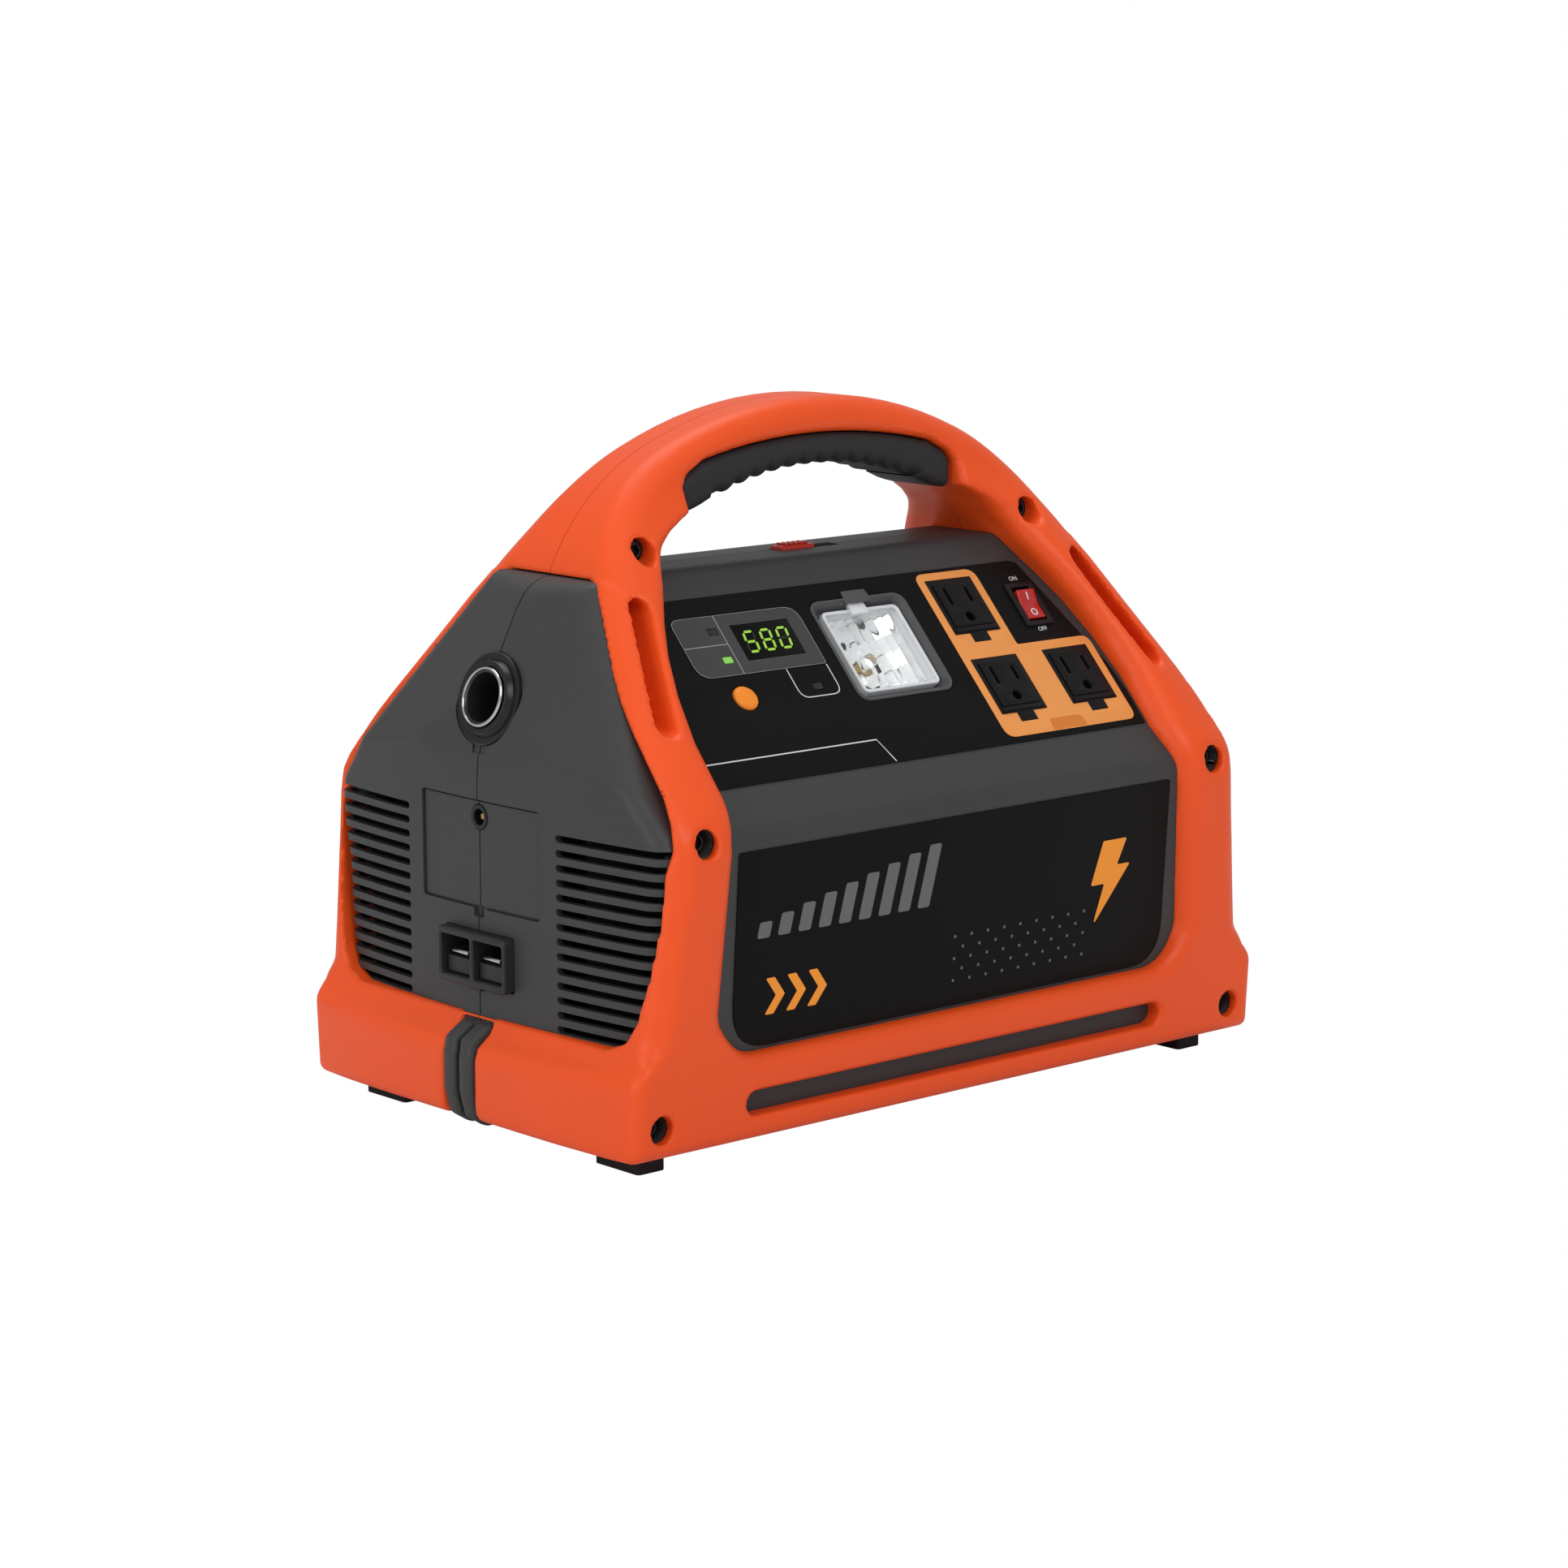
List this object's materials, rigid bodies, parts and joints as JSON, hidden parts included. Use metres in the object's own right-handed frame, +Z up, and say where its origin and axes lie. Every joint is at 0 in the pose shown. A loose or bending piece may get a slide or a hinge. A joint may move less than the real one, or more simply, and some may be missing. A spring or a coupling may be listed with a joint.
{
  "type": "jump starter power pack",
  "caption": "Portable jump starter pack with an orange roll-cage frame and carry handle, slanted control panel, mains outlets, emergency lamp and 12 V socket",
  "frame": {"origin": "on the floor under the middle of the pack", "axes": "X along the width, -Y towards the control panel, +Z up"},
  "size_m": [0.386, 0.244, 0.31],
  "materials": {
    "orange_plastic": "fine grained moulded orange plastic",
    "charcoal_plastic": "fine grained moulded charcoal plastic",
    "black_plastic": "satin black plastic",
    "grey_plastic": "satin grey plastic",
    "grip_rubber": "soft matt rubber",
    "foot_rubber": "matt rubber",
    "black_label": "printed matt film",
    "orange_label": "printed light orange film",
    "grey_label": "printed grey film",
    "dark_window": "smoked display window",
    "green_light": "lit green segments",
    "orange_button": "soft translucent orange rubber",
    "red_plastic": "glossy translucent red plastic",
    "clear_lens": "clear moulded lens",
    "bulb_glass": "small glass lamp",
    "chrome": "bright plated",
    "silver_contact": "silver plated contact",
    "zinc_steel": "zinc plated steel strip",
    "black_steel": "black coated steel screw",
    "brass": "plain brass",
    "aluminium": "extruded aluminium",
    "battery_case": "dark moulded battery case",
    "foam": "closed cell foam",
    "red_insulation": "red cable insulation",
    "black_insulation": "black cable insulation",
    "fuse_body": "amber fuse body",
    "circuit_board": "green solder mask",
    "winding_tape": "yellow winding tape",
    "capacitor_sleeve": "dark blue sleeve"
  },
  "bodies": {
    "pack": {"frame_front": "orange_plastic", "frame_rear": "orange_plastic", "handle_grip": "grip_rubber", "body_front": "charcoal_plastic", "body_rear": "charcoal_plastic", "frame_screws_front": "black_steel", "frame_screws_rear": "black_steel", "feet": "foot_rubber", "panel_label": "black_label", "face_label": "black_label", "outlet_surround": "orange_label", "outlet_top": "black_plastic", "outlet_left": "black_plastic", "outlet_right": "black_plastic", "outlet_contacts": "brass", "display_bezel": "grey_label", "display_window": "dark_window", "display_digits": "green_light", "status_leds": "green_light", "display_board": "circuit_board", "tact_switch": "black_plastic", "rocker_housing": "black_plastic", "lamp_housing": "grey_plastic", "lamp_reflector": "chrome", "lamp_bulb": "bulb_glass", "lamp_lens": "clear_lens", "slider_switch": "black_plastic", "socket_bezel": "black_plastic", "socket_shell": "chrome", "socket_contact": "brass", "charging_jack": "black_plastic", "charging_pin": "chrome", "connector_housing": "black_plastic", "connector_contacts": "silver_contact", "battery": "battery_case", "battery_terminals": "silver_contact", "battery_pads": "foam", "battery_strap": "zinc_steel", "positive_lead": "red_insulation", "fuse_lead": "red_insulation", "negative_lead": "black_insulation", "main_fuse": "fuse_body", "inverter_board": "circuit_board", "transformers": "winding_tape", "heat_sinks": "aluminium", "capacitors": "capacitor_sleeve", "fan_housing": "black_plastic"},
    "rocker": {"power_rocker": "red_plastic"},
    "button": {"display_button": "orange_button"},
    "slider": {"lamp_slider": "red_plastic"},
    "rotor": {"fan_rotor": "black_plastic"}
  },
  "joints": [
    {"name": "power_switch", "type": "hinge", "parent": "pack", "child": "rocker", "pos_m": [0.1008, -0.04841, 0.20871], "axis": [1, 0, 0], "range_deg": [-16, 0]},
    {"name": "display_press", "type": "slide", "parent": "pack", "child": "button", "axis": [0, 0.7314, -0.682], "range_m": [0, 0.002], "stiffness_N_per_m": 500, "springref_m": -0.001},
    {"name": "lamp_switch", "type": "slide", "parent": "pack", "child": "slider", "axis": [1, 0, 0], "range_m": [0, 0.014]},
    {"name": "fan_spin", "type": "hinge", "parent": "pack", "child": "rotor", "pos_m": [0.158, 0.072, 0.092], "axis": [1, 0, 0], "continuous": true}
  ]
}
